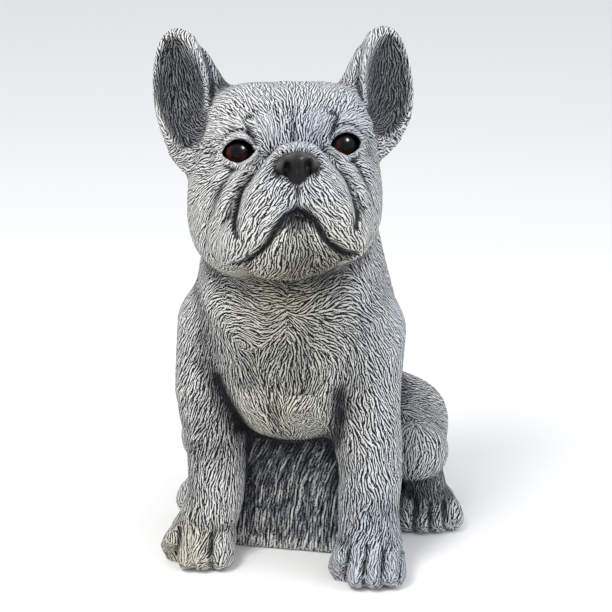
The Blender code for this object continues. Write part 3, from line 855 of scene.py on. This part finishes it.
class FIGURINE_OT_casting(bpy.types.Operator):
    """Builds the stone casting: dog, fur, nose and the bark between the legs"""
    bl_idname = "figurine.casting"
    bl_label = "Stone casting"

    def execute(self, context):
        size, colours = context.scene.bulldog_sizes, context.scene.bulldog_colours
        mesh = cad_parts["dog"].data.copy()
        mesh.name = "casting"
        mesh.materials.clear()
        item = bpy.data.objects.new("casting", mesh)
        context.collection.objects.link(item)
        put(mesh, coords(mesh) / UNIT + MIDDLE)
        for voxel, steps, lift in STAGES:
            apply(item, "REMESH", mode="VOXEL", voxel_size=voxel)
            put(item.data, draw_on(coords(item.data), steps, voxel * 0.8, lift))
        pts = coords(item.data)
        here, grad = slope(pts)
        normals = grad / np.maximum(np.linalg.norm(grad, axis=1), 1e-9)[:, None]
        high = relief(pts, normals, size)[0]
        pts = pts + normals * (high * ease(pts[:, 2], 0.2, 2.0))[:, None]
        pts[:, 2] = np.where(pts[:, 2] < SOLE, 0.0, pts[:, 2])
        put(item.data, pts)
        item.data.calc_loop_triangles()
        apply(item, "DECIMATE", decimate_type="COLLAPSE", use_collapse_triangulate=True,
              ratio=MOST_TRIANGLES / len(item.data.loop_triangles))
        mesh = item.data
        pts = coords(mesh)
        flat = np.empty(len(pts) * 3)
        mesh.vertices.foreach_get("normal", flat)
        normals = flat.reshape(-1, 3)
        high, tone, way, (m, bark, noseness, socket, bowl) = relief(pts, normals, size)
        furless = pts - normals * (high * (1 - bark))[:, None]
        stand = dished(mesh, furless, normals, SMOOTHED)
        note(mesh, "lay", way)
        note(mesh, "tone", tone)
        # ridges pale as the dry brush leaves them, and hollows dark, partly as painted shade
        note(mesh, "crest", np.clip(stand / CREST, -1, 1) * (1 - 0.6 * bowl))
        # the nose's top and wings, pale from wear and a painted highlight
        wear_and_highlight_spots = [np.exp(-((m - np.array(at)) ** 2).sum(1) / WEAR_AND_HIGHLIGHT_REACH) for at in WEAR_AND_HIGHLIGHT]
        note(mesh, "wear_and_highlight", np.maximum(*wear_and_highlight_spots))
        note(mesh, "bark", bark)
        note(mesh, "leather", np.maximum(noseness, socket))
        # the ear's hollow, darkened in the stone as painted shade
        note(mesh, "bowl", bowl)
        # painted shade in the nostrils and round the eyes
        pit_shade = np.exp(-(face_line(m, NOSTRIL) / NOSTRIL_WIDTH) ** 2) * noseness
        note(mesh, "pit_shade", np.maximum(pit_shade, socket))
        # painted shade along the drawn creases and painted light along the drawn ridges
        paint = 0
        for lines, front, at in zip((FACE_LINES, EAR_LINES, CHEST_LINES, HIND_LINES),
                                    fronts(pts, m), (m, m, pts, pts)):
            paint = paint + drawn(at, lines, front)[1]
        # no shade or light is painted along the lines where the surface faces sideways
        paint = paint * (1 - ease(np.abs((normals @ HEAD_AXES)[:, 0]), 0.75, 0.95))
        self.casts(mesh, pts, paint)
        put(mesh, (pts - MIDDLE) * UNIT)
        mesh.shade_smooth()
        mesh.materials.append(brushed_stone(colours, size))
        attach(item, "root")
        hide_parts("dog")
        return {"FINISHED"}

    def casts(self, mesh, pts, paint):
        """Broad colour casts: a painted green reflection low on the front, painted blue shade on
        the shaded side, painted shade in the creases and the shadows, and painted light on the lit
        shoulder and crown."""
        spots = {
            "painted_green_reflection": (((0, -95, 225), 30, 0.9), ((8, -95, 160), 40, 0.45),
                     ((0, -90, 110), 30, 0.5), ((-75, -100, 12), 20, 0.9),
                     ((20, -110, 240), 22, 0.8)),
            "painted_blue_shade": (((60, -90, 25), 40, 0.9), ((55, -40, 330), 40, 0.5),
                      ((70, -30, 180), 60, 0.5), ((15, -85, 315), 22, 0.8),
                      ((10, -115, 285), 18, 0.5), ((-54, -36, 342), 16, 0.9)),
            # painted shade under the chin, on the legs, paws and ears and at the stop of the nose
            "painted_shade_and_light": ((from_head((0, -46, -68)), 21, 1.15), ((-57, -70, 90), 34, 0.6),
                      ((0, -90, 150), 60, 0.2), ((0, -92, 112), 26, 0.35),
                      ((56, -76, 80), 26, 0.3), (from_head((-26, -58, -36)), 13, 0.35),
                      ((88, 0, 10), 28, 0.6), ((90, 20, 75), 40, 0.4),
                      ((-50, -38, 336), 13, 0.7), ((-60, -30, 352), 11, 0.6),
                      (from_head((0, -52, 9)), 8, 0.65), (from_head((13, -48, 4)), 6, 0.35),
                      ((28, -78, 206), 16, 0.4),
                      # painted light on the lit shoulder and the crown
                      ((72, -45, 185), 32, -0.55), ((-12, -55, 350), 45, -0.45)),
        }
        for name, marks in spots.items():
            total = np.zeros(len(pts))
            for at, reach, power in marks:
                total += power * np.exp(-((pts - np.array(at)) ** 2).sum(1) / (2 * reach ** 2))
            if name == "painted_shade_and_light":
                total += LINE_PAINT * paint
            note(mesh, name, np.clip(total, LIGHTEST if name == "painted_shade_and_light" else 0, 1))


class FIGURINE_OT_eyes(bpy.types.Operator):
    """Sets the two glass eyes into their sockets"""
    bl_idname = "figurine.eyes"
    bl_label = "Glass eyes"

    def execute(self, context):
        made = glass_eye(context.scene.bulldog_colours)
        for name, side in (("eye_left", 1), ("eye_right", -1)):
            bpy.ops.mesh.primitive_uv_sphere_add(segments=64, ring_count=48, radius=1.0)
            item = context.object
            item.name = "glass_" + name
            unit = coords(item.data)
            low, top = (np.array(corner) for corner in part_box(name))
            radius = (top - low).min() / 2
            # the eyes look a little outwards, and lower than the head
            axes = turn(HEAD_TURN - 2 + 8 * side, HEAD_LIFT - 14 + 90, 0)
            put(item.data, unit @ axes.T * radius + (low + top) / 2)
            note(item.data, "off", np.arccos(np.clip(-unit[:, 2], -1, 1)))
            note(item.data, "spoke", np.column_stack([unit[:, :2] / np.maximum(
                np.linalg.norm(unit[:, :2], axis=1), 1e-6)[:, None], 0.15 * unit[:, 2]]))
            up_and_out = unit @ axes.T @ HEAD_AXES @ np.array((0.6, 0.0, 0.8))
            note(item.data, "shadow", ease(up_and_out, -0.45, 0.2))
            item.data.shade_smooth()
            item.data.materials.append(made)
            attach(item, "root")
            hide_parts(name)
        return {"FINISHED"}


class FIGURINE_OT_studio(bpy.types.Operator):
    """Lays the pale floor and sets the soft lights and the camera"""
    bl_idname = "figurine.studio"
    bl_label = "Studio"

    def lamp(self, context, name, at, to, size, power, colour, glint=False):
        """Adds a round lamp, seen only in what it lights or, as a glint, only in highlights."""
        data = bpy.data.lights.new(name, "AREA")
        data.shape, data.size, data.energy, data.color = "DISK", size, power, colour
        item = bpy.data.objects.new(name, data)
        item.location = at
        item.rotation_euler = (Vector(at) - Vector(to)).to_track_quat("Z", "Y").to_euler()
        item.visible_diffuse, item.visible_glossy = not glint, glint
        context.collection.objects.link(item)

    def execute(self, context):
        set_up = context.scene.bulldog_studio
        bpy.ops.mesh.primitive_plane_add(size=FLOOR_SIZE)
        floor = context.object
        floor.name = "floor"
        # matt, so that the figure throws a soft shadow and no reflection
        made, tree, shader = new_material("pale matt studio floor")
        shader.inputs["Base Color"].default_value = ink(set_up.floor)
        shader.inputs["Roughness"].default_value = 0.9
        floor.data.materials.append(made)
        world = bpy.data.worlds.new("studio")
        world.use_nodes = True
        world.node_tree.nodes["Background"].inputs[0].default_value = (0.92, 0.96, 1.0, 1.0)
        world.node_tree.nodes["Background"].inputs[1].default_value = set_up.sky
        context.scene.world = world
        middle = (0.0, 0.0, 0.2)
        self.lamp(context, "key", (-0.55, -1.0, 1.75), middle, 0.7, set_up.key, (1.0, 0.98, 0.95))
        self.lamp(context, "fill", (1.5, -0.5, 0.7), middle, 1.2, set_up.fill, (0.85, 0.9, 1.0))
        # seen only as the highlight on the eyes and the sheen of the nose
        self.lamp(context, "glint", (0.88, -0.45, 1.45), (0, -0.07, 0.3), 0.46, 34.0, (1, 1, 1),
                  glint=True)
        back = Vector((math.sin(set_up.azimuth) * math.cos(set_up.elevation),
                       -math.cos(set_up.azimuth) * math.cos(set_up.elevation),
                       math.sin(set_up.elevation)))
        data = bpy.data.cameras.new("camera")
        data.angle = set_up.field
        data.clip_start = 0.01
        camera = bpy.data.objects.new("camera", data)
        camera.location = LOOKED_AT + back * set_up.distance
        camera.rotation_euler = back.to_track_quat("Z", "Y").to_euler()
        context.collection.objects.link(camera)
        context.scene.camera = camera
        context.scene.view_settings.view_transform = "Standard"
        return {"FINISHED"}


class FIGURINE_PT_panel(bpy.types.Panel):
    """Sizes, colours and lights of the figure, and its three building steps"""
    bl_label = "Cast stone bulldog"
    bl_idname = "FIGURINE_PT_panel"
    bl_space_type = "VIEW_3D"
    bl_region_type = "UI"
    bl_category = "Bulldog"

    def draw(self, context):
        for group in ("bulldog_sizes", "bulldog_colours", "bulldog_studio"):
            values = getattr(context.scene, group)
            for name in values.__annotations__:
                self.layout.prop(values, name)
        for step in STEPS:
            self.layout.operator(step.bl_idname)


GROUPS = {"bulldog_sizes": BulldogSizes, "bulldog_colours": BulldogColours,
          "bulldog_studio": BulldogStudio}
STEPS = (FIGURINE_OT_casting, FIGURINE_OT_eyes, FIGURINE_OT_studio)


def register():
    for kind in (*GROUPS.values(), *STEPS, FIGURINE_PT_panel):
        bpy.utils.register_class(kind)
    for name, kind in GROUPS.items():
        setattr(bpy.types.Scene, name, PointerProperty(type=kind))


def unregister():
    for name in GROUPS:
        delattr(bpy.types.Scene, name)
    for kind in (*GROUPS.values(), *STEPS, FIGURINE_PT_panel):
        bpy.utils.unregister_class(kind)


def main():
    """Builds casting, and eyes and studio."""
    register()
    bpy.ops.figurine.casting()
    bpy.ops.figurine.eyes()
    bpy.ops.figurine.studio()


if __name__ == "__main__":
    main()
